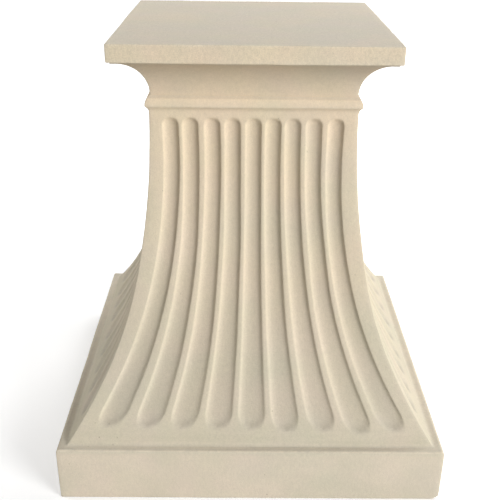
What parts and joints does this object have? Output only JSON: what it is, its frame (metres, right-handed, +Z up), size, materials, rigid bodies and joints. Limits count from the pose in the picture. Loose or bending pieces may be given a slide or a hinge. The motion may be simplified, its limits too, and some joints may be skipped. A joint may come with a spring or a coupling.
{
  "type": "fluted square pedestal",
  "caption": "Square cast-stone pedestal: fluted shaft flaring to a square plinth, with a bead and cavetto under a flat square slab.",
  "frame": {"origin": "centre of the underside, on the floor", "axes": "+Z up along the vertical axis; X and Y square to the four alike faces"},
  "size_m": [0.61, 0.61, 0.703],
  "materials": {
    "stone": "fine sandy cast stone, matt"
  },
  "bodies": {
    "root": {"pedestal": "stone"}
  },
  "joints": []
}
